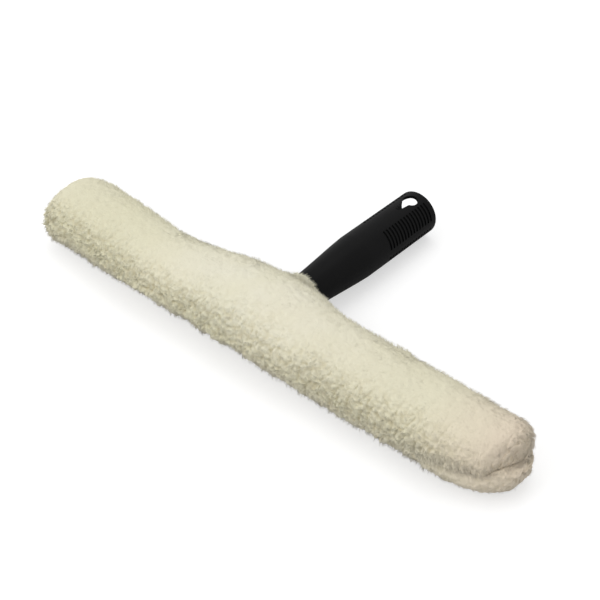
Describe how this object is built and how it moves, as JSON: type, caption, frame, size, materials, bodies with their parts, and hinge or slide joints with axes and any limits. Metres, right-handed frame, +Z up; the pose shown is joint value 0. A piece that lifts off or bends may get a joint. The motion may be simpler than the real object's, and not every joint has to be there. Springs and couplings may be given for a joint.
{
  "type": "window scrubber",
  "caption": "T-bar window scrubber with a hollow ribbed grip and a removable pile sleeve whose end opens with a hook-and-loop flap.",
  "frame": {"origin": "centre of the bounding box's bottom face, on the surface the scrubber lies on", "axes": "+X along the sleeve towards the end that opens, +Y along the handle from the sleeve towards the open end of the grip, +Z up, out of the face with the hanging hole's tail"},
  "size_m": [0.35, 0.1746, 0.0416],
  "materials": {
    "bar_plastic": "matte",
    "cap_rubber": "matte",
    "handle_plastic": "satin, with fine ribs on four panels of the grip",
    "screw_steel": "satin",
    "binding_tape": "woven",
    "knit_backing": "knitted",
    "pile": "soft, dense cream pile with a short nap",
    "seam_thread": "overlocked thread",
    "loop_fabric": "woven tape with loops",
    "stitch_thread": "thread",
    "hook_nylon": "woven nylon tape with moulded hooks"
  },
  "bodies": {
    "root": {"crossbar": "bar_plastic", "left_bar_cap": "cap_rubber", "right_bar_cap": "cap_rubber", "handle_shell": "handle_plastic", "handle_screw": "screw_steel", "slit_binding": "binding_tape", "upper_backing": "knit_backing", "lower_backing": "knit_backing", "upper_pile": "pile", "lower_pile": "pile", "front_seam": "seam_thread", "back_seam": "seam_thread", "end_seam": "seam_thread", "loop_tape": "loop_fabric", "loop_stitching": "stitch_thread"},
    "closure_flap": {"flap_pile": "pile", "flap_backing": "knit_backing", "hook_tape": "hook_nylon", "hook_stitching": "stitch_thread"}
  },
  "joints": [
    {"name": "flap_hinge", "type": "hinge", "parent": "root", "child": "closure_flap", "pos_m": [0.103, -0.05655, 0.0386], "axis": [0, -1, 0], "range_deg": [0, 70]}
  ]
}
